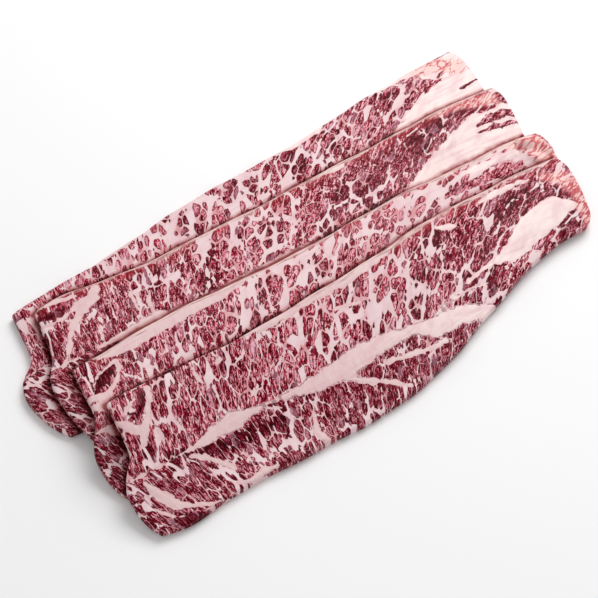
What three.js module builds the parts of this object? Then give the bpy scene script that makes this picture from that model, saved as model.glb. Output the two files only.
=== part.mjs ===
// A raw sliced denver steak: four long, thin, heavily marbled slices of one piece of beef, laid out like
// roof tiles. The back slice lies flat, and each next one leans on the slice behind it and drapes down to
// the surface in front. Every slice is the same two muscles joined by a seam of fat, so each has a broad
// upper part, cut square at the left end, and a lower part whose left end bulges out past a shallow notch
// and which runs out two thirds of the way along.
//
// Millimetres, +X along the slices to their narrow end, +Y to the back, +Z up. The origin is at the middle
// of the bottom, on the surface that the slices lie on.
import * as THREE from "three";
import { mergeVertices } from "three/addons/utils/BufferGeometryUtils.js";

// Driving dimensions, in millimetres
const THICKNESS = 5;
const GAP = 0.35; // air left between one slice and the next
const RIM_RADIUS = 2.6; // how far the rounding of a cut edge reaches in from the outline
const RIM_HEIGHT = 0.42; // where the outermost line of the rim lies, as a share of the thickness
const RIM_POWER = 2.6; // a squarer edge than a circle's
const SWELL = 0.45; // slow rise and fall of the top face
const SWELL_FADE = 8; // how far in from the outline the swell is full

// The raster on which each slice settles over those under it
const CELL = 2;
const FIELD = { x: -150, y: -100, columns: 151, rows: 101 };
const SETTLING_STEPS = 900;
const SAG = 0.022; // how much each step lets the slice drop towards what is under it

// Where the rows of points lie across and along a slice, as shares from edge to edge
const ROWS_ACROSS = [0, 0.01, 0.03, 0.075, 0.16, 0.27, 0.38, 0.5, 0.62, 0.73, 0.84, 0.925, 0.97, 0.99, 1];
const ROWS_NEAR_AN_END = [0, 0.0025, 0.0075, 0.018, 0.04];
const ROWS_ALONG_BETWEEN = 36;

// One entry for each slice, from the back one, which lies lowest, to the front one on top.
// corner: the back left corner of the upper part. turn: degrees about that corner. length: of the back edge.
// width: back to front, near the left end. endWidth: at the right end. upperEnd: the upper part's left end.
// slant: how far that end leans to the left on its way to the notch. bulge: how far the lower part's left
// end stands out past it. dip: how far the long edges sink to the front, most of all at dipAt, a share of the
// length, or rise to the back where it is negative. swing: how far the narrow end has swung to the back.
// lift: how high the notch stands clear of what is under it. knobs: lumps of fat that stand up from the top
// face, each at so far along and to the front, with its radius and height.
const SLICES = [
  {
    name: "slice_back",
    corner: [-126, 57.3],
    turn: 4.6,
    length: 265,
    width: 73,
    endWidth: 40,
    upperEnd: 31,
    slant: 6,
    bulge: 12.5,
    dip: -3.4,
    dipAt: 0.4,
    swing: 2.2,
    lift: 0,
    knobs: [],
  },
  {
    name: "slice_second",
    corner: [-118, 44.3],
    turn: 0.3,
    length: 257,
    width: 75,
    endWidth: 41,
    upperEnd: 31,
    slant: 5,
    bulge: 7,
    dip: -5,
    dipAt: 0.03,
    swing: 0.5,
    lift: 1,
    knobs: [{ along: 6, front: -1, radius: 6, height: 1 }],
  },
  {
    name: "slice_third",
    corner: [-120, 8.3],
    turn: 0.2,
    length: 260,
    width: 65,
    endWidth: 41,
    upperEnd: 32,
    slant: 3,
    bulge: 8.5,
    dip: -3,
    dipAt: 0.22,
    swing: 2.5,
    lift: 2.5,
    knobs: [
      { along: 253, front: 5, radius: 3, height: 1.8 },
      { along: 247, front: 7, radius: 2.5, height: 1.2 },
      { along: 252, front: 13, radius: 6, height: 1 },
    ],
  },
  {
    name: "slice_front",
    corner: [-117.5, -17.7],
    turn: 0.3,
    length: 254,
    width: 61.5,
    endWidth: 39,
    upperEnd: 29,
    slant: 2,
    bulge: 9.5,
    dip: 1.5,
    dipAt: 0.24,
    swing: 8.5,
    lift: 3,
    knobs: [
      { along: 184, front: -1, radius: 5, height: 0.8 },
      { along: 224, front: 17, radius: 13, height: 0.7 },
    ],
  },
];

const DIP_REACH = 0.12; // how far the dip reaches, as a share of the length
const SWING_FROM = 0.35;
const SWING_TO = 0.85;
const LIFT_CENTRE = 0.8; // how far to the front of the corner the lift is highest, as a share of upperEnd
const LIFT_REACH_ACROSS = 0.6;
const LIFT_REACH_ALONG = 16; // millimetres
const WOBBLE = 0.55; // small unevenness of the long edges

const COLOURS = { back: 0xb9676f, second: 0xc0727a, third: 0xb4606a, front: 0xbc6a72 };

// How far to the back a slice's long edges are carried at u along it.
// phase sets the wobble, so that no two edges have the same.
function carried(s, u, phase) {
  const share = u / s.length;
  const dip = s.dip * Math.exp(-(((share - s.dipAt) / DIP_REACH) ** 2));
  const swing = s.swing * THREE.MathUtils.smoothstep(share, SWING_FROM, SWING_TO);
  return swing - dip + WOBBLE * Math.sin(u / 6.5 + phase) * Math.sin(u / 17 + 2 * phase);
}

// A smooth open curve through points of a slice's own plane, carried with its long edges.
function edge(s, points, phase) {
  const through = points.map(([u, v]) => new THREE.Vector3(u, v + carried(s, u, phase), 0));
  return new THREE.CatmullRomCurve3(through, false, "centripetal");
}

// Points of a long edge, close enough together to follow its wobble, from a few that give its course.
function longEdge(s, points, phase) {
  const course = new THREE.CatmullRomCurve3(
    points.map(([u, v]) => new THREE.Vector3(u, v, 0)),
    false,
    "centripetal",
  );
  const along = course.getSpacedPoints(Math.round(s.length / 5)).map((p) => [p.x, p.y]);
  return edge(s, along, phase);
}

// The four edges of a slice in its own plane, u along the back edge and v from it, negative to the front.
function edgesOf(s) {
  const { length: L, width: W, endWidth: E, upperEnd: U, slant, bulge } = s;
  const lower = W - U;
  const backLeft = [1, -1];
  const backRight = [L - 3, -1];
  const frontRight = [L - 13, -E];
  const frontLeft = [-slant - 0.5 * bulge, -W + 2.5];
  const backPhase = SLICES.indexOf(s) + 1;
  const frontPhase = backPhase + SLICES.length;
  const back = longEdge(s, [backLeft, [0.04 * L, 0], [0.3 * L, 0], [0.6 * L, 0], [0.92 * L, 0.5], backRight], backPhase);
  const right = edge(
    s,
    [backRight, [L, -0.14 * E], [L - 1, -0.4 * E], [L - 4, -0.7 * E], [L - 7, -0.92 * E], frontRight],
    backPhase,
  );
  // The lower part's front edge swings in to the back where that part runs out.
  const front = longEdge(
    s,
    [
      frontLeft,
      [0.04 * L - slant, -W],
      [0.15 * L, -W + 3.2],
      [0.27 * L, -W + 2.2],
      [0.38 * L, -W],
      [0.49 * L, -W + 0.4],
      [0.58 * L, -W + 3],
      [0.66 * L, -W + 8.5],
      [0.75 * L, -E - 8],
      [0.83 * L, -E - 3],
      [0.9 * L, -E - 0.5],
      frontRight,
    ],
    frontPhase,
  );
  const left = edge(
    s,
    [
      backLeft,
      [-0.3 * slant, -0.45 * U],
      [-0.9 * slant - 0.3, -U + 1.5],
      [-slant - 0.5 * bulge, -U - 1],
      [-slant - 0.9 * bulge, -U - 5],
      [-slant - bulge, -U - 0.4 * lower],
      [-slant - 0.86 * bulge, -U - 0.72 * lower],
      frontLeft,
    ],
    frontPhase,
  );
  return { back, right, front, left };
}

// The grid of plan positions of a slice: a patch stretched between its four edges.
function planOf(s) {
  const { back, right, front, left } = edgesOf(s);
  const inner = (k) => THREE.MathUtils.lerp(0.04, 0.96, k / ROWS_ALONG_BETWEEN);
  const between = Array.from({ length: ROWS_ALONG_BETWEEN - 1 }, (_, k) => inner(k + 1));
  const along = [...ROWS_NEAR_AN_END, ...between, ...ROWS_NEAR_AN_END.map((a) => 1 - a).reverse()];
  const corners = [back.getPoint(0), back.getPoint(1), front.getPoint(0), front.getPoint(1)];
  const turn = THREE.MathUtils.degToRad(s.turn);
  return along.map((a) =>
    ROWS_ACROSS.map((b) => {
      const p = new THREE.Vector3();
      p.addScaledVector(back.getPointAt(a), 1 - b);
      p.addScaledVector(front.getPointAt(a), b);
      p.addScaledVector(left.getPointAt(b), 1 - a);
      p.addScaledVector(right.getPointAt(b), a);
      p.addScaledVector(corners[0], -(1 - a) * (1 - b));
      p.addScaledVector(corners[1], -a * (1 - b));
      p.addScaledVector(corners[2], -(1 - a) * b);
      p.addScaledVector(corners[3], -a * b);
      const own = { u: p.x, v: p.y };
      p.applyAxisAngle(new THREE.Vector3(0, 0, 1), turn);
      return { ...own, x: p.x + s.corner[0], y: p.y + s.corner[1] };
    }),
  );
}

// The closed outline of a grid, as points in order.
function outlineOf(grid) {
  const last = grid.length - 1;
  const across = ROWS_ACROSS.length - 1;
  const backEdge = grid.map((row) => row[0]);
  const frontEdge = grid.map((row) => row[across]).reverse();
  return [...backEdge, ...grid[last].slice(1, across), ...frontEdge, ...grid[0].slice(1, across).reverse()];
}

// How far a point lies from the nearest stretch of an outline.
function distanceTo(outline, p) {
  let nearest = Infinity;
  outline.forEach((a, i) => {
    const b = outline[(i + 1) % outline.length];
    const [ex, ey] = [b.x - a.x, b.y - a.y];
    const t = THREE.MathUtils.clamp(((p.x - a.x) * ex + (p.y - a.y) * ey) / (ex * ex + ey * ey), 0, 1);
    nearest = Math.min(nearest, Math.hypot(p.x - a.x - t * ex, p.y - a.y - t * ey));
  });
  return nearest;
}

// True where a point lies inside an outline.
function inside(outline, x, y) {
  let within = false;
  outline.forEach((a, i) => {
    const b = outline[(i + 1) % outline.length];
    if (a.y > y !== b.y > y && x < a.x + ((y - a.y) / (b.y - a.y)) * (b.x - a.x)) within = !within;
  });
  return within;
}

// A raster of heights over the surface, and what is read from it between its points.
function emptyField(value) {
  return new Float64Array(FIELD.columns * FIELD.rows).fill(value);
}

function heightAt(field, x, y) {
  const i = THREE.MathUtils.clamp((x - FIELD.x) / CELL, 0, FIELD.columns - 1.001);
  const j = THREE.MathUtils.clamp((y - FIELD.y) / CELL, 0, FIELD.rows - 1.001);
  const [c, r] = [Math.floor(i), Math.floor(j)];
  const at = r * FIELD.columns + c;
  const near = THREE.MathUtils.lerp(field[at], field[at + 1], i - c);
  const far = THREE.MathUtils.lerp(field[at + FIELD.columns], field[at + FIELD.columns + 1], i - c);
  return THREE.MathUtils.lerp(near, far, j - r);
}

// Each point of the result is what combine makes of the values within reach of it.
function spread(field, reach, combine) {
  const made = emptyField(0);
  for (let r = 0; r < FIELD.rows; r++) {
    for (let c = 0; c < FIELD.columns; c++) {
      const found = [];
      for (let dr = -reach; dr <= reach; dr++) {
        for (let dc = -reach; dc <= reach; dc++) {
          const rr = THREE.MathUtils.clamp(r + dr, 0, FIELD.rows - 1);
          const cc = THREE.MathUtils.clamp(c + dc, 0, FIELD.columns - 1);
          found.push(field[rr * FIELD.columns + cc]);
        }
      }
      made[r * FIELD.columns + c] = combine(found);
    }
  }
  return made;
}

const highest = (values) => Math.max(...values);
const mean = (values) => values.reduce((sum, value) => sum + value, 0) / values.length;

// The underside of a slice that has settled on what lies under it: each step draws every point towards the
// mean of its neighbours and a little lower, but never into the support.
function settle(s, outline, support) {
  const wide = spread(support, 1, highest);
  const soft = spread(spread(wide, 1, highest), 1, mean);
  const turn = THREE.MathUtils.degToRad(s.turn);
  const covered = new Uint8Array(support.length);
  const floor = emptyField(0);
  for (let k = 0; k < floor.length; k++) {
    const x = FIELD.x + (k % FIELD.columns) * CELL;
    const y = FIELD.y + Math.floor(k / FIELD.columns) * CELL;
    const [dx, dy] = [x - s.corner[0], y - s.corner[1]];
    const u = dx * Math.cos(turn) + dy * Math.sin(turn);
    const v = -dx * Math.sin(turn) + dy * Math.cos(turn);
    const aside = (v + LIFT_CENTRE * s.upperEnd) / (LIFT_REACH_ACROSS * s.upperEnd);
    const raised = s.lift * Math.exp(-((Math.max(u, 0) / LIFT_REACH_ALONG) ** 2) - aside ** 2);
    floor[k] = Math.max(wide[k], soft[k]) + (support[k] > 0 || wide[k] > 0 ? GAP : 0) + raised;
    covered[k] = inside(outline, x, y) || distanceTo(outline, { x, y }) < 1.5 * CELL ? 1 : 0;
  }
  let height = floor.map((h) => h + THICKNESS);
  for (let step = 0; step < SETTLING_STEPS; step++) {
    const next = height.slice();
    for (let k = FIELD.columns + 1; k < height.length - FIELD.columns - 1; k++) {
      if (!covered[k]) continue;
      const around = [k - 1, k + 1, k - FIELD.columns, k + FIELD.columns];
      const sum = around.reduce((total, n) => total + (covered[n] ? height[n] : height[k]), 0);
      next[k] = Math.max(floor[k], sum / 4 - SAG);
    }
    height = next;
  }
  return height.map((h, k) => (covered[k] ? h : floor[k]));
}

// How far the rounding of the edge has come, from 0 at the outline to 1 past its radius.
function rimShare(distance) {
  const inwards = 1 - Math.min(distance / RIM_RADIUS, 1);
  return (1 - inwards ** RIM_POWER) ** (1 / RIM_POWER);
}

// The slow swell of a slice's top face, fading out to its edge.
function swellAt(s, p, distance) {
  const phase = SLICES.indexOf(s);
  const waves = Math.sin(p.u / 17 + phase) * Math.cos(p.v / 11 + phase) + Math.sin(p.u / 29 - p.v / 13);
  return (SWELL / 2) * waves * Math.min(distance / SWELL_FADE, 1);
}

// How high the knobs raise a slice's top face at a point.
function knobsAt(s, p) {
  return s.knobs.reduce((sum, knob) => {
    const away = Math.hypot(p.u - knob.along, p.v + knob.front) / knob.radius;
    return sum + knob.height * Math.exp(-(away ** 2));
  }, 0);
}

// A slice's top and bottom heights at each point of its grid.
function heightsOf(s, grid, outline, underside) {
  return grid.map((row) =>
    row.map((p) => {
      const low = heightAt(underside, p.x, p.y);
      const distance = distanceTo(outline, p);
      const share = rimShare(distance);
      const relief = swellAt(s, p, distance) + share * knobsAt(s, p);
      return {
        ...p,
        bottom: low + THICKNESS * RIM_HEIGHT * (1 - share),
        top: low + THICKNESS * (RIM_HEIGHT + (1 - RIM_HEIGHT) * share) + relief,
      };
    }),
  );
}

// The closed surface of a slice: its top and bottom share the points of the outline.
function geometryOf(points) {
  const position = [];
  const across = ROWS_ACROSS.length - 1;
  const quad = (a, b, c, d) => {
    [a, b, c, a, c, d].forEach((p) => position.push(...p));
  };
  for (let i = 0; i + 1 < points.length; i++) {
    for (let j = 0; j < across; j++) {
      const around = [points[i][j], points[i][j + 1], points[i + 1][j + 1], points[i + 1][j]];
      const top = around.map((p) => [p.x, p.y, p.top]);
      const bottom = around.map((p) => [p.x, p.y, p.bottom]).reverse();
      quad(...top);
      quad(...bottom);
    }
  }
  const geometry = new THREE.BufferGeometry();
  geometry.setAttribute("position", new THREE.Float32BufferAttribute(position, 3));
  const merged = mergeVertices(geometry, 1e-3);
  merged.computeVertexNormals();
  return merged;
}

// The support for the next slice: the higher of what was there and this slice's top.
function raise(support, points, outline) {
  const cells = points.flat();
  const made = support.slice();
  for (let k = 0; k < made.length; k++) {
    const x = FIELD.x + (k % FIELD.columns) * CELL;
    const y = FIELD.y + Math.floor(k / FIELD.columns) * CELL;
    if (!inside(outline, x, y)) continue;
    let [weights, total] = [0, 0];
    cells.forEach((p) => {
      const near = 1 / (1e-3 + (p.x - x) ** 2 + (p.y - y) ** 2) ** 2;
      weights += near;
      total += near * p.top;
    });
    made[k] = Math.max(made[k], total / weights);
  }
  return made;
}

const steak = new THREE.Group();
steak.name = "sliced_denver_steak";
let support = emptyField(0);
for (const s of SLICES) {
  const grid = planOf(s);
  const outline = outlineOf(grid);
  const underside = settle(s, outline, support);
  const points = heightsOf(s, grid, outline, underside);
  const colour = COLOURS[s.name.replace("slice_", "")];
  const flesh = new THREE.MeshStandardMaterial({ color: colour, roughness: 0.42, metalness: 0 });
  const slice = new THREE.Mesh(geometryOf(points), flesh);
  slice.name = s.name;
  steak.add(slice);
  support = raise(support, points, outline);
}

export default steak;
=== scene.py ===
"""A raw sliced denver steak: four long marbled slices of one piece of beef, laid out like roof tiles.

Every slice starts from its own solid in the frame, is divided finely, and takes the relief and the colours
of beef cut across the grain: bundles of lean lobes in a net of fat, two muscles parted by a seam of fat,
and the fat and lean that the slice shows in places of its own. Blender's units are metres; a place on a
slice is given in millimetres, along its back edge from the left end and to the front of that edge.
"""
import logging
import math
from dataclasses import dataclass, field
from enum import Enum
from typing import Any

import bmesh
import bpy
import numpy as np
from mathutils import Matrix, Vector


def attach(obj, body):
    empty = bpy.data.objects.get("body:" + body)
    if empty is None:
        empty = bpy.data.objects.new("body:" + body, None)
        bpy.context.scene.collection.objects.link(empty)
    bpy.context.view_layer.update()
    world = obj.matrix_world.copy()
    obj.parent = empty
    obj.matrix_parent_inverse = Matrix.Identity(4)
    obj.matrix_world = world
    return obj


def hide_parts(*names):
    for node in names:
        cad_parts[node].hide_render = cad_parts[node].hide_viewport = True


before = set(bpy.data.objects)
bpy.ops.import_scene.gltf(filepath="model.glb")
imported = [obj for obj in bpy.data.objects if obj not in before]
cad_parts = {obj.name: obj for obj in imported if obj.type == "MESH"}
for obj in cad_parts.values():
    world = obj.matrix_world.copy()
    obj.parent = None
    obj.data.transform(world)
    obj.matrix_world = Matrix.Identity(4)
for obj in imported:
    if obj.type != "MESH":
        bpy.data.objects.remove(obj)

MM = 0.001
FAR = 99.0
LOG = logging.getLogger("denver_steak")

Colour = tuple[float, float, float, float]


def tint(red: int, green: int, blue: int) -> Colour:
    """Turns a colour of a screen, 0 to 255, into the linear colour that a shader works with.

    Args:
        red: The red share.
        green: The green share.
        blue: The blue share.

    Returns:
        The linear colour, opaque.
    """
    linear = [((c / 255 + 0.055) / 1.055) ** 2.4 if c > 10 else c / 3295 for c in (red, green, blue)]
    return (linear[0], linear[1], linear[2], 1.0)


def eased(value: np.ndarray, low: float, high: float) -> np.ndarray:
    """Rises smoothly from 0 to 1 as a value goes from low to high."""
    share = np.clip((value - low) / (high - low), 0.0, 1.0)
    return share * share * (3.0 - 2.0 * share)


class Field(Enum):
    """The names of the values that each point of a slice carries for its finish and its relief."""

    UPPER_GRAIN = "upper_grain"
    LOWER_GRAIN = "lower_grain"
    SIDE = "side"
    FAT = "fat"
    LEAN = "lean"
    RICHNESS = "richness"
    RIM = "rim"
    CREVICE = "crevice"
    BLUSH = "blush"
    PLAN = "plan"
    EDGE = "edge"
    DEEP = "deep"
    LUMP = "lump"


@dataclass(frozen=True)
class Signal:
    """A socket of a node tree in an expression: each operator adds the Math node that works it out."""

    bench: "Bench"
    socket: bpy.types.NodeSocket

    def _math(self, operation: str, *terms: "Signal | float") -> "Signal":
        """Adds a Math node.

        Args:
            operation: The node's operation.
            *terms: Its inputs, in order.

        Returns:
            The node's result.
        """
        return self.bench.make("ShaderNodeMath", {"operation": operation}, dict(enumerate(terms)))

    def __add__(self, other: "Signal | float") -> "Signal":
        """Adds."""
        return self._math("ADD", self, other)

    __radd__ = __add__

    def __sub__(self, other: "Signal | float") -> "Signal":
        """Subtracts."""
        return self._math("SUBTRACT", self, other)

    def __rsub__(self, other: float) -> "Signal":
        """Subtracts this value from a number."""
        return self._math("SUBTRACT", other, self)

    def __mul__(self, other: "Signal | float") -> "Signal":
        """Multiplies."""
        return self._math("MULTIPLY", self, other)

    __rmul__ = __mul__

    def __gt__(self, other: "Signal | float") -> "Signal":
        """Gives 1 where this value is the greater, else 0."""
        return self._math("GREATER_THAN", self, other)

    def at_least(self, other: "Signal | float") -> "Signal":
        """Gives the greater of two values."""
        return self._math("MAXIMUM", self, other)

    def at_most(self, other: "Signal | float") -> "Signal":
        """Gives the lesser of two values."""
        return self._math("MINIMUM", self, other)

    def rise(self, low: float, high: float) -> "Signal":
        """Rises smoothly from 0 to 1 as this value goes from low to high."""
        settings = {"interpolation_type": "SMOOTHSTEP"}
        sockets = {"Value": self, "From Min": low, "From Max": high}
        return self.bench.make("ShaderNodeMapRange", settings, sockets)


class Bench:
    """Makes and links the nodes of one tree."""

    def __init__(self, tree: bpy.types.NodeTree) -> None:
        """Takes the tree that the nodes go into."""
        self.tree = tree

    def make(
        self, kind: str, settings: dict[str, Any], sockets: dict[str | int, Any], out: str | int = 0
    ) -> Signal:
        """Makes one node, sets it up and fills its sockets.

        Args:
            kind: The node's type.
            settings: Its properties, set first; "stops" are the places and colours of a ramp.
            sockets: A value or a signal for each socket, by name or number.
            out: The output to give back.

        Returns:
            The output, ready for an expression; the first input of a node that has none.
        """
        node = self.tree.nodes.new(kind)
        for name, value in settings.items():
            if name == "stops":
                self._set_stops(node.color_ramp, value)
            else:
                setattr(node, name, value)
        for name, value in sockets.items():
            if isinstance(value, Signal):
                self.tree.links.new(value.socket, node.inputs[name])
            else:
                node.inputs[name].default_value = value
        return Signal(self, node.outputs[out] if node.outputs else node.inputs[0])

    @staticmethod
    def _set_stops(ramp: bpy.types.ColorRamp, stops: list[tuple[float, Colour]]) -> None:
        """Gives a ramp its stops.

        Args:
            ramp: The ramp, with the two stops of a new one.
            stops: The place and the colour of each stop, in order.
        """
        for _ in stops[2:]:
            ramp.elements.new(0.5)
        for element, (place, colour) in zip(ramp.elements, stops):
            element.position = place
            element.color = colour

    def stored(self, name: Field, vector: bool = False) -> Signal:
        """Reads a value that the points of the mesh carry, in a shader or in a geometry tree.

        Args:
            name: Which value.
            vector: True where it has three parts.

        Returns:
            The value.
        """
        if self.tree.bl_idname == "GeometryNodeTree":
            kind = "FLOAT_VECTOR" if vector else "FLOAT"
            return self.make("GeometryNodeInputNamedAttribute", {"data_type": kind}, {"Name": name.value})
        out = "Vector" if vector else "Fac"
        return self.make("ShaderNodeAttribute", {"attribute_name": name.value}, {}, out)

    def mix(self, share: Signal | float, first: Signal | Colour, second: Signal | Colour) -> Signal:
        """Mixes two colours.

        Args:
            share: 0 for the first, 1 for the second.
            first: A colour.
            second: A colour.

        Returns:
            The mixed colour.
        """
        return self.make("ShaderNodeMix", {"data_type": "RGBA"}, {0: share, 6: first, 7: second}, 2)

    def tinted(self, share: Signal | float, base: Signal | Colour, shade: Signal | Colour) -> Signal:
        """Multiplies a colour by a shade.

        Args:
            share: How much of it is taken.
            base: The colour.
            shade: The shade.

        Returns:
            The shaded colour.
        """
        settings = {"data_type": "RGBA", "blend_type": "MULTIPLY"}
        return self.make("ShaderNodeMix", settings, {0: share, 6: base, 7: shade}, 2)

    def vector(self, operation: str, first: Signal, second: Signal | tuple[float, float, float]) -> Signal:
        """Works with two vectors.

        Args:
            operation: The Vector Math node's operation.
            first: A vector.
            second: A vector.

        Returns:
            The resulting vector.
        """
        return self.make("ShaderNodeVectorMath", {"operation": operation}, {0: first, 1: second})

    def noise(self, place: Signal, scale: float, detail: float = 2.0, out: str = "Fac") -> Signal:
        """Makes cloudy noise.

        Args:
            place: Where to read it.
            scale: How many clouds there are to a unit.
            detail: How many finer layers it has.
            out: "Fac" for a value about 0.5, or "Color" for three of them.

        Returns:
            The noise.
        """
        return self.make("ShaderNodeTexNoise", {}, {"Vector": place, "Scale": scale, "Detail": detail}, out)

    def cells(self, place: Signal, scale: float, feature: str, out: str) -> Signal:
        """Makes a pattern of cells.

        Args:
            place: Where to read it.
            scale: How many cells there are to a unit.
            feature: What to measure, as the Voronoi node names it.
            out: The output to give back.

        Returns:
            The distance or the colour.
        """
        settings = {"feature": feature, "voronoi_dimensions": "2D"}
        return self.make("ShaderNodeTexVoronoi", settings, {"Vector": place, "Scale": scale}, out)


@dataclass(frozen=True)
class Pattern:
    """What the finish and the relief read from the marbling.

    Attributes:
        grain: The place in the muscle's own grain, in bundles.
        body: How far inside a lobe of lean a place lies; negative in fat.
        lean: 1 in lean and 0 in fat.
        inside: 1 well inside a bundle, where the fat is only lines.
        lobe: A number of each lobe's own, 0 to 1.
        fat: 1 in the seam and the slice's own veins of fat.
        outline: How far outside those a place lies, in millimetres.
    """

    grain: Signal
    body: Signal
    lean: Signal
    inside: Signal
    lobe: Signal
    fat: Signal
    outline: Signal


@dataclass(frozen=True)
class Marbling:
    """The net of fat in the lean.

    Attributes:
        bundle_warp: How far the bundles are bent about, in bundles.
        lobes_to_a_bundle: How many lobes lie across a bundle.
        lobe_warp: How far the lobes are bent about, in bundles.
        line: Half the fat between two lobes, in lobes.
        gap: How much wider it is where the lobes lie loose.
        merge: How far the lobes grow together where there is little fat.
        stream: Half the fat between two bundles, in bundles.
        river: How much wider it is along the rivers of fat.
        ragged: How far an outline wanders, in millimetres.
    """

    bundle_warp: float = 0.5
    lobes_to_a_bundle: float = 2.4
    lobe_warp: float = 0.2
    line: float = 0.03
    gap: float = 0.035
    merge: float = 0.045
    stream: float = 0.026
    river: float = 0.135
    ragged: float = 4.2

    OUTSIDE = 2.0

    def pattern(self, bench: Bench) -> Pattern:
        """Lays the pattern out in a tree, alike for the finish and for the relief.

        Args:
            bench: The tree's bench.

        Returns:
            The pattern's values.
        """
        below = bench.stored(Field.SIDE) > 0.0
        settings = {"data_type": "VECTOR"}
        grains = {4: bench.stored(Field.UPPER_GRAIN, True), 5: bench.stored(Field.LOWER_GRAIN, True)}
        grain = bench.make("ShaderNodeMix", settings, {0: below, **grains}, 1)
        bent = self._bent(bench, grain, 0.9, self.bundle_warp)
        finer = self._bent(bench, bent, 2.4, self.lobe_warp)
        lobe_edge = bench.cells(finer, self.lobes_to_a_bundle, "DISTANCE_TO_EDGE", "Distance")
        lobe_reach = bench.cells(finer, self.lobes_to_a_bundle, "F1", "Distance")
        lobe = bench.cells(finer, self.lobes_to_a_bundle, "F1", "Color")
        lobe_tone = bench.make("ShaderNodeSeparateXYZ", {}, {"Vector": lobe})
        bundle_edge = bench.cells(bent, 1.0, "DISTANCE_TO_EDGE", "Distance")
        bundle_reach = bench.cells(bent, 1.0, "F1", "Distance")

        richness = bench.stored(Field.RICHNESS)
        wide = (bench.noise(grain, 0.6, 2.0) + (richness - 1.0) * 0.12).rise(0.36, 0.74)
        fine = bench.noise(grain, 9.5, 2.0) - 0.5
        round_bundle = bundle_edge * 0.75 + (0.5 - bundle_reach) * 0.25
        island = round_bundle - wide * self.river - (richness * 0.5 + 0.5) * self.stream
        scallop = island * self.lobes_to_a_bundle + lobe_edge * 0.9 - 0.06
        round_lobe = lobe_edge * 0.7 + (0.54 - lobe_reach) * 0.34
        loose = bench.noise(grain, 1.1, 1.0).rise(0.45, 0.7) * self.gap
        body = scallop.at_most(round_lobe - (loose + self.line) * richness) + fine * 0.17
        body = body + (1.0 - richness) * self.merge
        gone = (lobe_tone + richness * 0.05) > 0.99
        body = body - gone * 0.6

        plan = bench.stored(Field.PLAN, True)
        edge = (bench.noise(plan, 0.24, 4.0) - 0.5) * self.ragged
        outline = bench.stored(Field.FAT) + edge
        fat = outline.rise(0.12, -0.12)
        patch = (bench.stored(Field.LEAN) + edge).rise(0.3, -0.3)
        solid = (bench.stored(Field.LEAN) + edge * 0.4).rise(0.5, -0.2)
        body = body.at_least(lobe_edge - 0.03 - (1.0 - patch) * self.OUTSIDE)
        body = body.at_least(solid * 0.1 - (1.0 - solid) * self.OUTSIDE)
        lean = body.rise(-0.02, 0.03) * (1.0 - fat * (1.0 - patch))
        inside = (scallop.rise(0.0, 0.25) + scallop.rise(-0.3, 0.0) * 0.3) * (1.0 - fat) * (1.0 - gone)
        return Pattern(grain, body, lean, inside, lobe_tone, fat, outline)

    @staticmethod
    def _bent(bench: Bench, place: Signal, scale: float, reach: float) -> Signal:
        """Bends a pattern's place about, so that nothing in it stays straight.

        Args:
            bench: The tree's bench.
            place: The place to bend.
            scale: How many bends there are to a unit.
            reach: How far the place moves.

        Returns:
            The bent place.
        """
        push = bench.vector("SUBTRACT", bench.noise(place, scale, 1.0, "Color"), (0.5, 0.5, 0.5))
        push = bench.vector("MULTIPLY", push, (reach, reach, 0.0))
        return bench.vector("ADD", place, push)


@dataclass(frozen=True)
class Ground:
    """What the steps of the beef's finish all read.

    Attributes:
        bench: The material's bench.
        pattern: The marbling.
        plan: The place along the slice, to its front and below its face, in millimetres.
        along: The first part of that.
        fibres: The place in the grain, in fibres.
        streak: The fibres' own light and dark, about 0.5.
    """

    bench: Bench
    pattern: Pattern
    plan: Signal
    along: Signal
    fibres: Signal
    streak: Signal


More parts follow.
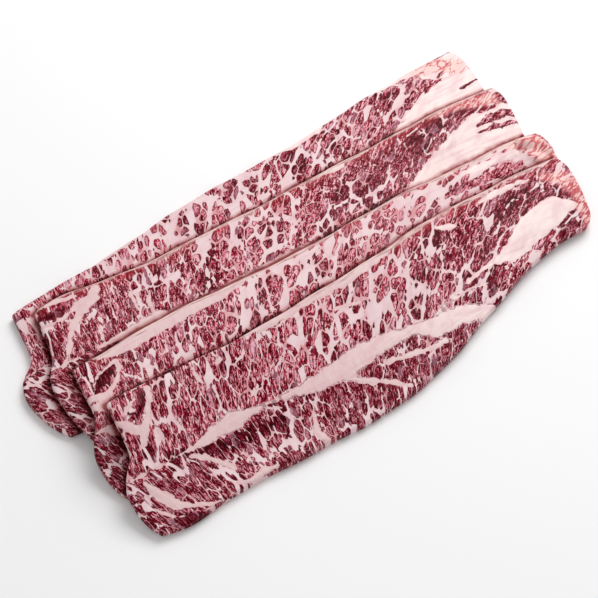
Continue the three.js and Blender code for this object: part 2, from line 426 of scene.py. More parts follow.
@dataclass(frozen=True)
class MarbledBeef:
    """The finish of raw marbled beef, moist all over; its colours are named for where they show.

    Attributes:
        slot: A name for the material's slot; not used.
        fibre_counts: How many fibres there are to a bundle along it, across it and down.
        lobe_height: How far the lobes bulge, in millimetres, as all the heights here.
        seam_height: How far the seam of fat bulges.
        groove_depth: How deep the line beside it is.
        rim_wear: How ragged the cut rims are.
        bump_height: The finest relief's height, which the material gives.
        bump_strength: How strongly it shows.
    """

    slot: str = "marbled_beef"
    fibre_counts: tuple[float, float, float] = (5.2, 8.4, 3.4)
    lobe_height: float = 0.08
    seam_height: float = 0.12
    groove_depth: float = 0.12
    rim_wear: float = 1.6
    bump_height: float = 0.35
    bump_strength: float = 0.36
    fat: Colour = tint(238, 212, 214)
    fat_shade: Colour = tint(226, 184, 190)
    # Whiter fat toward the right end: partly the fat's own white, partly painted light where the light
    # falls stronger.
    fat_white_and_lit: Colour = tint(252, 232, 228)
    fat_seam: Colour = tint(228, 196, 194)
    fat_edge: Colour = tint(226, 168, 172)
    seam_line: Colour = tint(128, 66, 84)
    lean_edge: Colour = tint(78, 0, 10)
    lean_flesh: Colour = tint(146, 0, 34)
    lean_mid: Colour = tint(192, 52, 82)
    lean_pale: Colour = tint(241, 190, 198)
    lean_bright: Colour = tint(196, 62, 66)
    lean_deep: Colour = tint(168, 104, 132)
    lilac: Colour = tint(200, 150, 168)
    line: Colour = tint(214, 146, 152)
    blush: Colour = tint(246, 206, 200)
    blush_lean: Colour = tint(206, 96, 104)
    blush_line: Colour = tint(200, 84, 86)
    thread_dark: Colour = tint(156, 104, 104)
    thread: Colour = tint(214, 176, 172)
    thread_pale: Colour = tint(238, 212, 206)
    # Painted shade for what lies under the slice on top: film is the soft greyish tint, and the fat and
    # lean tints after it are the darker shade next to that slice's edge.
    film: Colour = tint(214, 178, 178)
    fat_painted_shade: Colour = tint(178, 124, 126)
    lean_painted_shade: Colour = tint(140, 92, 98)
    marbling: Marbling = field(default_factory=Marbling)

    def material(self) -> bpy.types.Material:
        """Builds the material that all slices share.

        Returns:
            The material.
        """
        material = bpy.data.materials.new("marbled_beef")
        material.use_nodes = True
        material.node_tree.nodes.clear()
        bench = Bench(material.node_tree)
        pattern = self.marbling.pattern(bench)
        plan = bench.stored(Field.PLAN, True)
        along = bench.make("ShaderNodeSeparateXYZ", {}, {"Vector": plan})
        fibres = bench.vector("MULTIPLY", pattern.grain, self.fibre_counts)
        streak = bench.noise(fibres, 1.0, 2.0)
        ground = Ground(bench, pattern, plan, along, fibres, streak)

        colour = self._blushed(ground, self._lean(ground), self._fat(ground))
        colour = self._filmed(ground, self._outlined(ground, colour))
        colour = self._shaded(ground, colour)
        height = pattern.body.rise(-0.1, 0.3) * 0.6 - pattern.body.rise(-0.05, 0.06) * 0.25 + streak * 0.3
        sockets = {"Strength": self.bump_strength, "Distance": self.bump_height * MM, "Height": height}
        bump = bench.make("ShaderNodeBump", {}, sockets, "Normal")
        sockets = {
            "Base Color": colour,
            "Roughness": 0.36 - pattern.lean * 0.1 + streak * 0.1,
            "Normal": bump,
            "Coat Weight": 0.02,
            "Coat Roughness": 0.12,
            "Specular IOR Level": 0.04,
        }
        surface = bench.make("ShaderNodeBsdfPrincipled", {}, sockets)
        bench.make("ShaderNodeOutputMaterial", {}, {"Surface": surface})
        return material

    def _lean(self, ground: Ground) -> Signal:
        """Colours the lean: crimson rings and threads, pale hearts, and deeper plots and muscle.

        Args:
            ground: What the finish reads.

        Returns:
            The colour.
        """
        bench, pattern, streak = ground.bench, ground.pattern, ground.streak
        wave = bench.noise(ground.fibres, 1.3, 1.0) - 0.48
        thread = (wave * wave).rise(0.0026, 0.0004)
        plots = bench.stored(Field.DEEP) + (bench.noise(pattern.grain, 2.2, 2.0) - 0.5) * 4.0
        clouds = bench.noise(pattern.grain, 0.6, 1.0).rise(0.5, 0.68) * 0.7
        lower = bench.stored(Field.SIDE).rise(-3.0, 6.0) * 0.35
        deep = clouds.at_least(plots.rise(1.0, -1.5)).at_least(lower)
        rich = bench.stored(Field.RICHNESS)
        heart = pattern.body.rise(0.05, 0.14) * (streak + (rich - 0.7) * 0.1).rise(0.48, 0.56)
        ring = pattern.body.rise(0.08, 0.0)
        tone = heart * (0.54 - deep * 0.14) + (streak - 0.5) * 1.4
        tone = tone + (pattern.lobe - 0.5) * 0.2 - deep * 0.06
        tone = tone + thread * pattern.body.rise(0.01, 0.08) * (0.75 - deep * 0.15)
        tone = tone + ring * (0.28 - deep * 0.14)
        stops = [
            (0.0, self.lean_edge),
            (0.3, self.lean_flesh),
            (0.58, self.lean_mid),
            (0.86, self.lean_pale),
        ]
        lean = bench.make("ShaderNodeValToRGB", {"stops": stops}, {"Fac": tone}, "Color")
        lean = bench.tinted(deep, lean, self.lean_deep)
        lean = bench.mix(bench.stored(Field.EDGE).rise(8.0, 2.0) * 0.3, lean, self.lean_bright)
        veil = (pattern.lobe > 0.7) * bench.noise(pattern.grain, 1.7, 2.0).rise(0.5, 0.62)
        return bench.mix(veil * 0.32, lean, self.lilac)

    def _fat(self, ground: Ground) -> Signal:
        """Colours the fat: mottled, whiter to the right (partly its own whiter fat, partly painted light),
        and pinker in lines and next to lean.

        Args:
            ground: What the finish reads.

        Returns:
            The colour.
        """
        bench, pattern = ground.bench, ground.pattern
        mottle = bench.noise(pattern.grain, 1.3, 4.0).rise(0.4, 0.7)
        strands = bench.noise(bench.vector("MULTIPLY", ground.plan, (0.05, 0.5, 0.2)), 1.0, 4.0)
        fat = bench.mix(pattern.fat * 0.7, self.fat, self.fat_seam)
        # Whiter toward the right end: partly the fat's own white, partly painted light.
        fat = bench.mix(pattern.fat * ground.along.rise(90.0, 200.0), fat, self.fat_white_and_lit)
        fat = bench.mix(mottle * 0.5 + strands.rise(0.5, 0.66) * 0.35, fat, self.fat_shade)
        fat = bench.mix(pattern.inside * (mottle * 0.4 + 0.35), fat, self.line)
        halo = pattern.body.rise(-0.04, 0.0) * (1.0 - pattern.fat)
        halo = halo.at_least(pattern.outline.rise(-0.9, -0.1) * pattern.fat)
        return bench.mix(halo * 0.4, fat, self.fat_edge)

    def _blushed(self, ground: Ground, lean: Signal, fat: Signal) -> Signal:
        """Lays lean and fat out as the marbling says, and blushes both at the slices' ends.

        Args:
            ground: What the finish reads.
            lean: The lean's colour.
            fat: The fat's colour.

        Returns:
            The colour.
        """
        bench, pattern, streak = ground.bench, ground.pattern, ground.streak
        blush = bench.stored(Field.BLUSH) + (bench.noise(pattern.grain, 2.2, 3.0) - 0.5) * 6.0
        blush = blush.rise(1.5, -1.5)
        swirl = bench.noise(pattern.grain, 2.4, 1.0) - 0.5
        curl = (swirl * swirl).rise(0.0016, 0.0002) * blush
        lean = bench.mix(blush * 0.82, lean, self.blush_lean)
        fat = bench.mix(blush * 0.8 + streak.rise(0.52, 0.6) * blush * 0.2, fat, self.blush)
        fat = bench.mix(curl * 0.8, fat, self.blush_line)
        return bench.mix(pattern.lean * (1.0 - blush * streak.rise(0.44, 0.54) * 0.8), fat, lean)

    def _outlined(self, ground: Ground, colour: Signal) -> Signal:
        """Draws the thin dark line just inside the seam's edges, broken here and there.

        Args:
            ground: What the finish reads.
            colour: The colour so far.

        Returns:
            The colour.
        """
        bench, outline = ground.bench, ground.pattern.outline
        side = bench.stored(Field.SIDE)
        breaks = bench.noise(bench.vector("MULTIPLY", ground.plan, (1.0, 0.3, 0.3)), 0.5, 2.0)
        rim = outline.rise(-0.85, -0.55) * outline.rise(0.0, -0.2) * breaks.rise(0.42, 0.56)
        rim = rim * side.rise(9.0, 7.0) * side.rise(-9.0, -7.0) * ground.along.rise(24.0, 40.0)
        return bench.mix(rim * 0.6, colour, self.seam_line)

    def _filmed(self, ground: Ground, colour: Signal) -> Signal:
        """Covers the slices' back edges with a ragged, stringy film.

        Args:
            ground: What the finish reads.
            colour: The colour so far.

        Returns:
            The colour.
        """
        bench = ground.bench
        strings = bench.noise(bench.vector("MULTIPLY", ground.plan, (0.1, 1.5, 0.3)), 1.0, 3.0)
        stops = [(0.34, self.thread_dark), (0.48, self.thread), (0.66, self.thread_pale)]
        film = bench.make("ShaderNodeValToRGB", {"stops": stops}, {"Fac": strings}, "Color")
        ragged = bench.noise(bench.vector("MULTIPLY", ground.plan, (0.07, 0.3, 0.1)), 1.0, 3.0) - 0.5
        strip = (bench.stored(Field.EDGE) + ragged * 6.0).rise(3.0, 1.6)
        return bench.mix(strip * 0.85, colour, film)

    def _shaded(self, ground: Ground, colour: Signal) -> Signal:
        """Paints shade on what lies close under the slice on top: a soft greyish tint, and a darker one
        next to that slice's edge.

        Args:
            ground: What the finish reads.
            colour: The colour so far.

        Returns:
            The colour.
        """
        bench = ground.bench
        # Painted shade: the film colour tints about the first 3 mm from the slice on top, and the darker
        # fat or lean shade about the first millimetre.
        near = bench.stored(Field.CREVICE) + (bench.noise(ground.plan, 0.16, 4.0) - 0.5) * 2.6
        shade = bench.mix(ground.pattern.lean, self.fat_painted_shade, self.lean_painted_shade)
        colour = bench.tinted(1.0 - near.rise(0.6, 3.0), colour, self.film)
        return bench.tinted(1.0 - near.rise(0.1, 1.3), colour, shade)

    def relief(self) -> bpy.types.NodeTree:
        """Builds the geometry tree that raises the lobes and the seam of fat out of a slice.

        Returns:
            The tree, with one geometry in and one out.
        """
        tree = bpy.data.node_groups.new("marbled_relief", "GeometryNodeTree")
        tree.interface.new_socket("Geometry", in_out="INPUT", socket_type="NodeSocketGeometry")
        tree.interface.new_socket("Geometry", in_out="OUTPUT", socket_type="NodeSocketGeometry")
        bench = Bench(tree)
        pattern = self.marbling.pattern(bench)
        taken = bench.make("NodeGroupInput", {}, {})
        bulge = pattern.body.rise(-0.15, 0.3) * self.lobe_height
        seam = bench.stored(Field.FAT)
        pillow = seam.rise(0.0, -3.5) * self.seam_height
        groove = (seam * seam).rise(0.6, 0.0) * self.groove_depth
        steep = 0.5 - bench.stored(Field.RIM).at_most(0.5)
        ragged = bench.noise(pattern.grain, 1.7, 3.0) * steep * self.rim_wear
        normal = bench.make("GeometryNodeInputNormal", {}, {})
        upward = bench.make("ShaderNodeSeparateXYZ", {}, {"Vector": normal}, "Z")
        lump = bench.stored(Field.LUMP) * upward.rise(0.0, 0.9)
        height = ((bulge + pillow - groove - ragged) * upward.rise(-0.5, 0.0) + lump) * MM
        push = bench.make("ShaderNodeVectorMath", {"operation": "SCALE"}, {0: normal, "Scale": height})
        moved = bench.make("GeometryNodeSetPosition", {}, {"Geometry": taken, "Offset": push})
        bench.make("NodeGroupOutput", {}, {0: moved})
        return tree


@dataclass(frozen=True)
class Vein:
    """A stretch of fat or of lean on a slice.

    Attributes:
        points: Its middle line: how far along and to the front, and half its width there, in millimetres.
    """

    points: tuple[tuple[float, float, float], ...]

    def distance(self, along: np.ndarray, front: np.ndarray) -> np.ndarray:
        """Measures how far places lie outside the vein.

        Args:
            along: How far along the slice each place is.
            front: How far to the front of the back edge it is.

        Returns:
            The distances in millimetres, negative inside.
        """
        nearest = np.full(along.shape, np.inf)
        for (u0, v0, w0), (u1, v1, w1) in zip(self.points, self.points[1:]):
            du, dv = u1 - u0, v1 - v0
            share = np.clip(((along - u0) * du + (front - v0) * dv) / (du * du + dv * dv), 0.0, 1.0)
            away = np.hypot(along - u0 - share * du, front - v0 - share * dv)
            nearest = np.minimum(nearest, away - w0 - share * (w1 - w0))
        return nearest


@dataclass(frozen=True)
class Grain:
    """The course of the bundles across one muscle of a slice.

    Attributes:
        angle: The bundles' direction at the left end, in degrees from the back edge.
        turn: How much that direction turns to each millimetre along.
        lengths: A bundle's length at the left end, in the middle and at the right end, in millimetres.
        widths: Its width there.
    """

    angle: float
    turn: float
    lengths: tuple[float, float, float]
    widths: tuple[float, float, float]

    def cells(self, along: np.ndarray, front: np.ndarray) -> tuple[np.ndarray, np.ndarray]:
        """Counts the bundles up to each place, along them and across them.

        The turning direction is that of an exponential map, which bends the plane and tears it nowhere.

        Args:
            along: How far along the slice each place is.
            front: How far to the front of the back edge it is.

        Returns:
            The counts along and across.
        """
        rate = math.radians(self.turn)
        plane = along - 1j * front
        mapped = 1j / rate * np.exp(-1j * (math.radians(self.angle) + rate * plane))
        return self._counted(mapped.real, self.lengths), self._counted(mapped.imag, self.widths)

    @staticmethod
    def _counted(run: np.ndarray, sizes: tuple[float, float, float]) -> np.ndarray:
        """Counts cells whose size changes evenly from one end of a run to the other.

        Args:
            run: Distances.
            sizes: The cells' size where the run starts, in its middle and where it ends.

        Returns:
            How many cells lie up to each distance.
        """
        table = np.linspace(run.min(), run.max(), 400)
        size = np.interp(np.linspace(0.0, 1.0, 400), (0.0, 0.5, 1.0), sizes)
        counts = np.concatenate(([0.0], np.cumsum(np.diff(table) / size[1:])))
        return np.interp(run, table, counts)


UPPER_MUSCLE = Grain(angle=80, turn=-0.235, lengths=(20.0, 17.5, 20.0), widths=(7.4, 9.0, 6.0))
LOWER_MUSCLE = Grain(angle=113, turn=-0.45, lengths=(20.0, 18.0, 16.0), widths=(8.0, 8.8, 8.0))

SEAM = Vein(
    (
        (-14, 33.5, 0.25),
        (14, 34.6, 0.3),
        (23, 34.2, 0.9),
        (35, 32.2, 3.0),
        (46, 31.6, 4.6),
        (54, 31.0, 1.6),
        (64, 31.2, 0.9),
        (76, 33.4, 2.3),
        (86, 34.8, 4.2),
        (99, 36.0, 5.0),
        (110, 35.6, 5.4),
        (121, 35.2, 4.2),
        (132, 37.0, 3.0),
        (139, 38.8, 2.6),
        (147, 43.0, 4.8),
        (158, 44.4, 4.6),
        (168, 48.4, 4.0),
        (182, 56.0, 3.4),
    )
)


@dataclass
class Slice:
    """One slice of the steak.

    Attributes:
        node: Its solid in the frame.
        name: The finished piece's name.
        corner: The back left corner of the slice, in millimetres.
        turn: Degrees about that corner.
        fat: Fat that this slice shows in places of its own.
        lean: Lean that this slice shows within its fat.
        blush: Where its fat and its lean are flushed with pink.
        deep: Where its lean is darker.
        plots: Stretches with more fat between the lobes than elsewhere, or less.
        lumps: Stretches that stand up, with their heights in millimetres.
        film: Where along its back edge the film over it begins and is whole.
        richness: How wide the rivers of fat are.
        start: Where this slice reads the pattern, so that no two are alike.
        cover: The slice on top of it, or none.
    """

    node: str
    name: str
    corner: tuple[float, float]
    turn: float
    fat: tuple[Vein, ...]
    lean: tuple[Vein, ...] = ()
    blush: tuple[Vein, ...] = ()
    deep: tuple[Vein, ...] = ()
    plots: tuple[tuple[Vein, float], ...] = ()
    lumps: tuple[tuple[Vein, float], ...] = ()
    film: tuple[float, float] = (0.0, 1.0)
    richness: float = 1.0
    start: float = 0.0
    cover: "Slice | None" = None

    DIVISIONS = 3
    WELD = 1e-6
    EDGE_STEP = 3.0
    LAYER = 9.0
    FILM_WIDTH = 8.0
    RICH_PLACE = 118.0
    RICH_REACH = 62.0
    BACKWARD = (0.545, 0.839)
    BEHIND_REACH = 3.0

    def build(self, finish: MarbledBeef, material: bpy.types.Material, relief: bpy.types.NodeTree) -> None:
        """Makes the piece, dresses it and puts it in its solid's place.

        Args:
            finish: The beef's finish; not used.
            material: The shared material.
            relief: The shared relief.
        """
        piece = self._divided(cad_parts[self.node])
        self._measure(piece)
        self._raise(piece, relief)
        piece.data.materials.clear()
        piece.data.materials.append(material)
        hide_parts(self.node)
        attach(piece, "root")
        LOG.info("%s: %d faces", self.name, len(piece.data.polygons))

    def _divided(self, solid: bpy.types.Object) -> bpy.types.Object:
        """Copies the solid as whole four-sided faces and divides them finely.

        Args:
            solid: The solid in the frame.

        Returns:
            The new piece.
        """
        shape = bmesh.new()
        shape.from_mesh(solid.data)
        bmesh.ops.remove_doubles(shape, verts=shape.verts, dist=self.WELD)
        bmesh.ops.join_triangles(
            shape, faces=shape.faces, angle_face_threshold=math.pi, angle_shape_threshold=math.pi
        )
        mesh = bpy.data.meshes.new(self.name)
        shape.to_mesh(mesh)
        shape.free()
        mesh.shade_smooth()
        piece = bpy.data.objects.new(self.name, mesh)
        bpy.context.scene.collection.objects.link(piece)
        divide = piece.modifiers.new("divide", "SUBSURF")
        divide.levels = self.DIVISIONS
        divide.render_levels = self.DIVISIONS
        self._settle(piece)
        return piece

    @staticmethod
    def _settle(piece: bpy.types.Object) -> None:
        """Applies the piece's modifiers to its mesh."""
        seen = piece.evaluated_get(bpy.context.evaluated_depsgraph_get())
        mesh = bpy.data.meshes.new_from_object(seen)
        piece.modifiers.clear()
        piece.data = mesh

    def _measure(self, piece: bpy.types.Object) -> None:
        """Works out what each point of the piece carries for its pattern.

        Args:
            piece: The divided piece.
        """
        mesh = piece.data
        place = np.empty(len(mesh.vertices) * 3)
        mesh.vertices.foreach_get("co", place)
        place = place.reshape(-1, 3) / MM
        normal = np.empty(len(mesh.vertices) * 3)
        mesh.vertices.foreach_get("normal", normal)
        facing = np.abs(normal.reshape(-1, 3)[:, 2])

        along, front = self._plane(place)
        front = self._back_edge(along, front)
        depth = self._depth(along, front, place[:, 2])

        fat = self._nearest((SEAM, *self.fat), along, front)
        lean = self._nearest(self.lean, along, front)
        course = np.array(SEAM.points)
        side = front - np.interp(along, course[:, 0], course[:, 1])
        layer = depth / self.LAYER + self.start
        for name, grain in ((Field.UPPER_GRAIN, UPPER_MUSCLE), (Field.LOWER_GRAIN, LOWER_MUSCLE)):
            lengthways, crossways = grain.cells(along, front)
            values = np.stack((lengthways + self.start, crossways + 2 * self.start, layer), axis=1)
            self._store(mesh, name, values)
        self._store(mesh, Field.SIDE, side)
        self._store(mesh, Field.FAT, fat)
        self._store(mesh, Field.LEAN, lean)
        middle = np.exp(-(((along - self.RICH_PLACE) / self.RICH_REACH) ** 2)) * eased(side, 6.0, -12.0)
        richness = self.richness * (0.35 + 0.8 * middle)
        for plot, change in self.plots:
            richness += change * eased(plot.distance(along, front), 4.0, -4.0)
        self._store(mesh, Field.RICHNESS, richness)
        lump = np.zeros(along.shape)
        for stretch, height in self.lumps:
            share = eased(stretch.distance(along, front), 0.0, -stretch.points[0][2])
            lump = np.maximum(lump, height * share)
        self._store(mesh, Field.LUMP, lump)
        self._store(mesh, Field.RIM, facing)
        # The distance from the slice on top is the mask for the painted shade under it.
        crevice = np.full(along.shape, FAR)
        if self.cover:
            crevice = self._from_cover(place)
        self._store(mesh, Field.CREVICE, crevice)
        self._store(mesh, Field.DEEP, self._nearest(self.deep, along, front))
        self._store(mesh, Field.BLUSH, self._nearest(self.blush, along, front))
        self._store(mesh, Field.PLAN, np.stack((along, front, depth + 10 * self.start), axis=1))
        self._store(mesh, Field.EDGE, front + self.FILM_WIDTH * (1.0 - eased(along, *self.film)))

    @staticmethod
    def _nearest(veins: tuple[Vein, ...], along: np.ndarray, front: np.ndarray) -> np.ndarray:
        """Measures how far places lie outside the nearest of some veins.

        Args:
            veins: The veins, or none.
            along: How far along the slice each place is.
            front: How far to the front of the back edge it is.

        Returns:
            The distances in millimetres, negative inside.
        """
        nearest = np.full(along.shape, FAR)
        for vein in veins:
            nearest = np.minimum(nearest, vein.distance(along, front))
        return nearest

    def _from_cover(self, place: np.ndarray) -> np.ndarray:
        """Measures how far places lie out of the shade of the slice on top.

        Args:
            place: The places, in millimetres.

        Returns:
            The distances, 0 under that slice; behind its back edge they start further out.
        """
        shape = bmesh.new()
        shape.from_mesh(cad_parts[self.cover.node].data)
        bmesh.ops.remove_doubles(shape, verts=shape.verts, dist=self.WELD)
        rims = [edge for edge in shape.edges if len(edge.link_faces) == 2]
        rims = [e for e in rims if e.link_faces[0].normal.z * e.link_faces[1].normal.z < 0]
        ends = np.array([[tuple(v.co[:2]) for v in edge.verts] for edge in rims]) / MM
        shape.free()
        east, north = place[:, 0], place[:, 1]
        nearest = np.full(len(place), np.inf)
        behind = np.zeros(len(place))
        within = np.zeros(len(place), dtype=bool)
        for (x0, y0), (x1, y1) in ends:
            dx, dy = x1 - x0, y1 - y0
            share = np.clip(((east - x0) * dx + (north - y0) * dy) / (dx * dx + dy * dy), 0.0, 1.0)
            out_x, out_y = east - x0 - share * dx, north - y0 - share * dy
            away = np.hypot(out_x, out_y)
            backward = out_x * self.BACKWARD[0] + out_y * self.BACKWARD[1]
            behind = np.where(away < nearest, backward / np.maximum(away, self.WELD), behind)
            nearest = np.minimum(nearest, away)
            if y0 != y1:
                crossed = (y0 > north) != (y1 > north)
                within ^= crossed & (east < x0 + (north - y0) / (y1 - y0) * dx)
        reach = self.BEHIND_REACH * np.maximum(behind, 0.0)
        return np.where(within, 0.0, np.maximum(nearest - reach, 0.0))

    def _plane(self, place: np.ndarray) -> tuple[np.ndarray, np.ndarray]:
        """Finds places on this slice's own plane.

        Args:
            place: The places, in millimetres.

        Returns:
            How far along it and to the front of a straight line through its corner they are.
        """
        turn = math.radians(self.turn)
        east, north = place[:, 0] - self.corner[0], place[:, 1] - self.corner[1]
        cosine, sine = math.cos(turn), math.sin(turn)
        return east * cosine + north * sine, east * sine - north * cosine

    def _back_edge(self, along: np.ndarray, front: np.ndarray) -> np.ndarray:
        """Measures places from the slice's real back edge, which isn't straight.

        Args:
            along: How far along the slice each place is.
            front: How far to the front of a straight line through its corner it is.

        Returns:
            How far to the front of the back edge it is.
        """
        step = np.floor((along - along.min()) / self.EDGE_STEP).astype(int)
        edge = np.full(step.max() + 1, np.inf)
        np.minimum.at(edge, step, front)
        middles = along.min() + (np.arange(edge.size) + 0.5) * self.EDGE_STEP
        sound = (middles > self.EDGE_STEP) & (middles < along.max() - 3 * self.EDGE_STEP)
        return front - np.interp(along, middles[sound], edge[sound])

    @staticmethod
    def _depth(along: np.ndarray, front: np.ndarray, height: np.ndarray) -> np.ndarray:
        """Measures how far below the slice's top face each place lies.

        Args:
            along: How far along the slice each place is.
            front: How far to the front of the back edge it is.
            height: How high it is.

        Returns:
            The depths in millimetres.
        """
        columns = np.floor(along - along.min()).astype(int)
        rows = np.floor(front - front.min()).astype(int)
        top = np.full((columns.max() + 1, rows.max() + 1), -np.inf)
        np.maximum.at(top, (columns, rows), height)
        return top[columns, rows] - height

    @staticmethod
    def _store(mesh: bpy.types.Mesh, name: Field, values: np.ndarray) -> None:
        """Keeps values with the points of a mesh.

        Args:
            mesh: The mesh.
            name: What the values are.
            values: One number or three for each point.
        """
        kind, part = ("FLOAT_VECTOR", "vector") if values.ndim == 2 else ("FLOAT", "value")
        attribute = mesh.attributes.new(name.value, kind, "POINT")
        attribute.data.foreach_set(part, values.astype(np.float32).ravel())

    def _raise(self, piece: bpy.types.Object, relief: bpy.types.NodeTree) -> None:
        """Raises the pattern's relief out of the piece.

        Args:
            piece: The measured piece.
            relief: The geometry tree.
        """
        layer = piece.modifiers.new("relief", "NODES")
        layer.node_group = relief
        self._settle(piece)


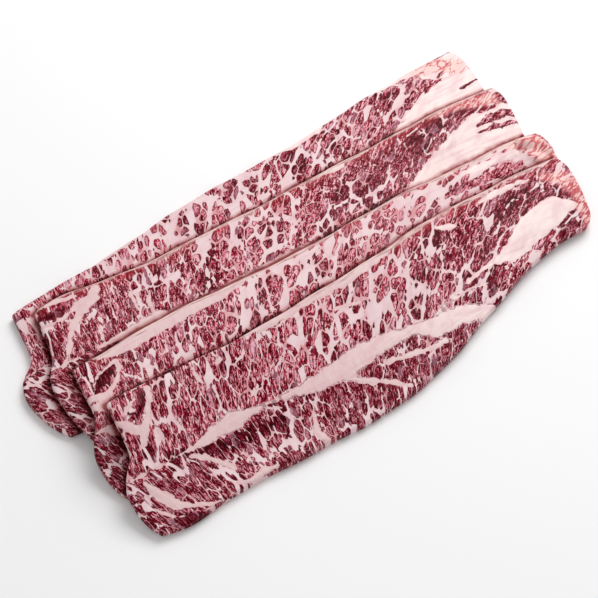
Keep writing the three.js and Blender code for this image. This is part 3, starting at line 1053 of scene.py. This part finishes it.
SLICES = (
    Slice(
        node="slice_back",
        name="back_slice",
        corner=(-126, 57.3),
        turn=4.6,
        start=3.7,
        film=(270.0, 280.0),
        richness=1.35,
        plots=(
            (Vein(((10, 12, 14), (88, 16, 16))), 0.6),
            (Vein(((112, 14, 16), (155, 14, 16))), -0.35),
        ),
        fat=(
            Vein(((44, -1, 1.4), (54, -1, 2.8), (66, -1, 3.0), (78, -1.5, 1.8), (90, -2, 0.8))),
            Vein(((150, 0, 1.0), (160, 0.5, 2.4), (170, 1, 2.4), (180, 1, 1.0))),
            Vein(((203, 29, 0.5), (212, 29, 4), (224, 28, 8), (238, 26, 10), (256, 24, 10))),
            Vein(((240, 8, 1.5), (247, 8, 5.5), (258, 9, 8))),
            Vein(((212, 0, 0.8), (226, 1, 1.8), (244, 2, 2.6))),
        ),
        lean=(
            Vein(((250, 24, 0.8), (264, 24, 0.8))),
            Vein(((246, 12, 0.9), (256, 8, 0.9))),
            Vein(((-4, 2, 3.0), (3, 4, 2.6), (8, 5, 1.0))),
            Vein(((-3, 12, 2.0), (-4, 22, 1.6))),
        ),
        deep=(Vein(((-4, 5, 1.6), (5, 6, 1.4))),),
        blush=(Vein(((236, 2, 2), (250, 5, 5), (258, 12, 4))),),
    ),
    Slice(
        node="slice_second",
        name="second_slice",
        corner=(-118, 44.3),
        turn=0.3,
        start=11.3,
        richness=0.85,
        deep=(Vein(((0, 6, 1.0), (5, 8, 2.0), (10, 9, 2.0), (15, 9, 1.0))),),
        blush=(Vein(((216, 2, 1.5), (236, 4, 3.0), (250, 7, 3.4))),),
        plots=(
            (Vein(((0, 22, 12), (60, 22, 16))), -0.1),
            (Vein(((84, 16, 14), (132, 16, 14))), 0.1),
            (Vein(((152, 14, 14), (180, 12, 14), (230, 9, 8))), -0.5),
        ),
        fat=(
            Vein(((3, 1.5, 1.0), (9, 2.4, 1.5), (16, 3.6, 1.2), (22, 4.4, 0.5))),
            Vein((
                (-2, 10, 0.5), (4, 12, 0.9), (9, 13, 1.1),
                (15, 11.4, 1.2), (20, 9, 1.6), (26, 8, 2.4),
            )),
            Vein((
                (31, 3, 1.6), (27, 8, 2.8), (20, 13, 2.4), (13, 17.5, 1.7),
                (8, 23, 1.4), (3, 30, 1.1), (-2, 35, 0.7),
            )),
            Vein(((1, 36, 0.5), (4, 39.5, 0.8), (11, 38, 0.7), (14, 41, 0.4))),
            Vein(((45, 8, 0.5), (42, 15, 0.9), (41, 23, 0.4))),
            Vein(((51, 16, 0.4), (47, 21, 1.0), (46, 28, 0.4))),
            Vein(((22, 24, 0.4), (20, 30, 0.8), (19, 35, 0.3))),
            Vein(((155, 2, 1.6), (159, 2, 2.6), (164, 3, 1.4))),
            Vein((
                (167, 38, 0.5), (182, 36, 5), (204, 31, 9.5),
                (223, 27, 12), (237, 24, 13), (251, 20, 9),
            )),
        ),
        lean=(
            Vein(((0, 6, 1.6), (5, 8, 2.2), (10, 9, 2.2), (16, 8, 1.4))),
            Vein(((234, 17.5, 0.6), (242, 15.5, 2.2), (250, 16, 2.6), (258, 19, 2.0))),
            Vein(((232, 20.5, 0.5), (243, 20.5, 1.4), (254, 23, 1.2))),
        ),
    ),
    Slice(
        node="slice_third",
        name="third_slice",
        corner=(-120, 8.3),
        turn=0.2,
        start=19.9,
        plots=(
            (Vein(((90, 10, 12), (170, 10, 12))), 0.1),
            (Vein(((174, 10, 9), (190, 10, 12), (235, 10, 12))), 1.2),
            (Vein(((243, 6, 6), (252, 12, 10))), 1.3),
        ),
        fat=(
            Vein((
                (14, 2, 1.6), (28, 3.6, 3.8), (45, 4, 4.0),
                (62, 3.6, 3.6), (78, 2.6, 2.8), (92, 1.6, 1.4),
            )),
            Vein(((210, 5, 1.0), (222, 6, 2.2), (240, 8, 2.4))),
            Vein(((-1, 16, 0.4), (3, 16, 0.5), (8, 11, 0.5), (14, 8.6, 0.5), (20, 8, 0.8))),
            Vein(((20, 9, 0.9), (17, 15, 1.1), (12, 19, 1.2), (7, 21, 1.6))),
            Vein(((-1, 19, 1.0), (4, 20, 2.0), (8, 21, 1.6))),
            Vein(((0, 34, 0.8), (2, 37, 1.6))),
            Vein(((-3, 22, 0.8), (1, 24, 2.2), (5, 26, 1.8))),
        ),
        lean=(
            Vein(((198, 11, 1.4), (214, 12, 2.4), (230, 13, 2.4), (238, 14, 1.2))),
            Vein(((6, 15.6, 1.4), (11, 13, 2.6), (16, 10.4, 1.6))),
        ),
        deep=(Vein(((5, 16, 2.2), (11, 13, 3.2), (17, 10, 2.0))),),
        blush=(Vein(((240, 2, 3), (250, 6, 6), (254, 18, 6), (246, 22, 4))),),
        lumps=(
            (Vein(((246, 4.5, 4.5), (249, 5, 4.5))), 2.6),
            (Vein(((255, 9, 4), (256, 12, 4))), 1.5),
            (Vein(((247, 13, 4), (251, 18, 4))), 1.1),
        ),
        film=(6.0, 12.0),
    ),
    Slice(
        node="slice_front",
        name="front_slice",
        corner=(-117.5, -17.7),
        turn=0.3,
        start=29.3,
        fat=(
            Vein(((150, 38.5, 0.8), (166, 36, 0.9), (177, 34.3, 0.6), (186, 33.5, 0.5))),
            Vein(((160, 38, 0.9), (172, 38, 0.6), (184, 40, 0.3))),
            Vein((
                (185, 33.5, 0.4), (193, 34, 2.1), (200, 33.6, 4), (209, 30.5, 5.7),
                (218, 28, 6.9), (226, 26.4, 7.3), (234, 25, 5.8), (241, 26.5, 2.8),
            )),
            Vein(((20, 4, 1.4), (17, 9, 1.6), (14, 15, 1.7), (9, 20, 1.7), (5, 23.6, 1.4))),
            Vein(((0, 11, 1.0), (3, 14.4, 2.4), (6, 17, 2.0), (8, 18, 1.0))),
            Vein(((5, 9.6, 0.7), (9, 8, 0.9), (12, 6, 0.7))),
            Vein(((42, 3, 0.4), (42, 9, 0.9), (43, 14, 0.4))),
            Vein(((56, -1, 0.5), (55, 5, 0.9), (49, 9, 0.4))),
            Vein(((14, 19, 0.4), (15, 24, 0.7), (14, 28, 0.3))),
            Vein((
                (-2, 38, 0.8), (0, 42, 2.0), (2, 46, 2.6), (5, 50.6, 2.2),
                (10, 54, 1.1), (17, 58, 0.6), (26, 60, 0.5),
            )),
            Vein(((-5, 41, 0.5), (-4, 48, 0.6), (1, 54, 0.6), (8, 58.6, 0.6), (20, 61, 0.6))),
            Vein(((21, 37, 0.9), (27, 40, 1.3), (31, 44, 1.2), (35, 49, 0.8))),
            Vein(((80, 41, 0.3), (77, 46, 0.9), (74, 52, 1.4), (76, 58, 1.8))),
            Vein(((33, 56, 1.0), (39, 58, 1.6), (46, 57, 1.6), (51, 57, 0.9))),
            Vein(((98, 40, 1.2), (107, 47, 1.3), (115, 52, 1.2), (122, 58, 0.9))),
            Vein(((118, 43, 1.0), (127, 46, 1.2), (138, 49, 1.2), (148, 50, 1.4))),
            Vein((
                (68, 0, 1.2), (80, 0.5, 3.4), (96, 0.5, 3.6), (116, 1, 3.6),
                (128, 2, 3.2), (143, 2, 2.4), (152, 1, 1.0),
            )),
            Vein(((112, 12, 0.4), (117, 12.5, 1.2), (123, 15, 0.9))),
            Vein(((176, 6, 0.8), (181, 8, 1.7), (185, 10, 0.9))),
            Vein(((203, 5, 0.8), (212, 4, 1.4), (220, 5, 1.4), (232, 6, 0.9))),
        ),
        lean=(
            Vein(((17, 2, 1.0), (16, 5, 1.8), (14, 9, 1.9), (10, 12.6, 1.7), (6, 13, 0.8))),
            Vein(((3, 58, 2.0), (9, 60, 2.8), (15, 62, 2.0))),
        ),
        deep=(
            Vein(((16, 4, 1.4), (14, 9, 2.0), (9, 13, 1.6))),
            Vein(((3, 57, 2.4), (9, 60, 3.0), (15, 62, 2.0))),
            Vein(((14, 33, 2.0), (30, 38, 3.0), (48, 40, 4.0), (64, 40, 3.0))),
        ),
        blush=(Vein(((238, 8, 2.4), (246, 12, 4), (249, 22, 5), (247, 33, 5), (243, 41, 3))),),
        lumps=(
            (Vein(((9, 6, 4), (12, 9, 4))), 0.4),
            (Vein(((16, 3, 3), (18, 9, 3))), 0.2),
        ),
        plots=(
            (Vein(((30, 50, 8), (60, 46, 8), (74, 50, 8))), 0.3),
            (Vein(((78, 44, 3), (72, 56, 6))), 0.7),
            (Vein(((96, 50, 8), (160, 52, 8), (200, 44, 6))), -0.15),
            (Vein(((176, 20, 12), (225, 10, 8))), -0.4),
        ),
        film=(60.0, 110.0),
    ),
)


@dataclass(frozen=True)
class Studio:
    """The floor, the soft lights and the camera.

    Attributes:
        azimuth: The view's direction about the upright axis, in degrees; at 0 it looks to the back.
        elevation: How far the view looks down, in degrees.
        distance: From the camera to the point that it looks at, in metres.
        view_width: What the picture's width takes in at that distance, in metres.
        target: That point.
    """

    azimuth: float = -33.0
    elevation: float = 55.0
    distance: float = 0.8
    view_width: float = 0.2703
    target: tuple[float, float, float] = (-0.0125, -0.0097, 0.008)
    floor_size: float = 3.0
    floor_colour: Colour = (0.95, 0.95, 0.95, 1.0)

    def build(self) -> None:
        """Sets the studio up."""
        self._camera()
        self._floor()
        self._light("key", (0.6, 0.35, 0.85), 0.7, 8.5)
        self._light("fill", (-0.9, -0.9, 1.1), 1.2, 2.0)
        self._surround(0.5)
        bpy.context.scene.view_settings.view_transform = "Standard"
        LOG.info("studio: camera, floor and lights")

    def _camera(self) -> None:
        """Puts the camera at the photograph's viewing angle."""
        around, down = math.radians(self.azimuth), math.radians(self.elevation)
        level = math.cos(down)
        back = Vector((math.sin(around) * level, -math.cos(around) * level, math.sin(down)))
        camera = bpy.data.cameras.new("camera")
        camera.lens = camera.sensor_width * self.distance / self.view_width
        holder = bpy.data.objects.new("camera", camera)
        holder.location = Vector(self.target) + back * self.distance
        holder.rotation_euler = back.to_track_quat("Z", "Y").to_euler()
        bpy.context.scene.collection.objects.link(holder)
        bpy.context.scene.camera = holder

    def _floor(self) -> None:
        """Lays the plain pale floor."""
        shape = bmesh.new()
        bmesh.ops.create_grid(shape, x_segments=1, y_segments=1, size=self.floor_size / 2)
        mesh = bpy.data.meshes.new("floor")
        shape.to_mesh(mesh)
        shape.free()
        material = bpy.data.materials.new("floor")
        material.use_nodes = True
        shader = material.node_tree.nodes["Principled BSDF"]
        shader.inputs["Base Color"].default_value = self.floor_colour
        shader.inputs["Roughness"].default_value = 0.9
        mesh.materials.append(material)
        floor = bpy.data.objects.new("floor", mesh)
        bpy.context.scene.collection.objects.link(floor)

    @staticmethod
    def _light(name: str, place: tuple[float, float, float], size: float, power: float) -> None:
        """Hangs a soft square light that faces the middle of the steak.

        Args:
            name: Its name.
            place: Where it hangs, in metres.
            size: Its side.
            power: Its power in watts.
        """
        light = bpy.data.lights.new(name, "AREA")
        light.size = size
        light.energy = power
        holder = bpy.data.objects.new(name, light)
        holder.location = place
        holder.rotation_euler = Vector(place).to_track_quat("Z", "Y").to_euler()
        bpy.context.scene.collection.objects.link(holder)

    @staticmethod
    def _surround(strength: float) -> None:
        """Fills the room with even white light."""
        world = bpy.data.worlds.new("surround")
        world.use_nodes = True
        background = world.node_tree.nodes["Background"]
        background.inputs["Color"].default_value = (1.0, 1.0, 1.0, 1.0)
        background.inputs["Strength"].default_value = strength
        bpy.context.scene.world = world


def main() -> None:
    """Builds the steak and the studio."""
    logging.basicConfig(level=logging.INFO, format="%(name)s: %(message)s")
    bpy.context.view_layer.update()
    Studio().build()
    finish = MarbledBeef()
    material = finish.material()
    relief = finish.relief()
    for piece, cover in zip(SLICES, (*SLICES[1:], None)):
        piece.cover = cover
        piece.build(finish, material, relief)


if __name__ == "__main__":
    main()
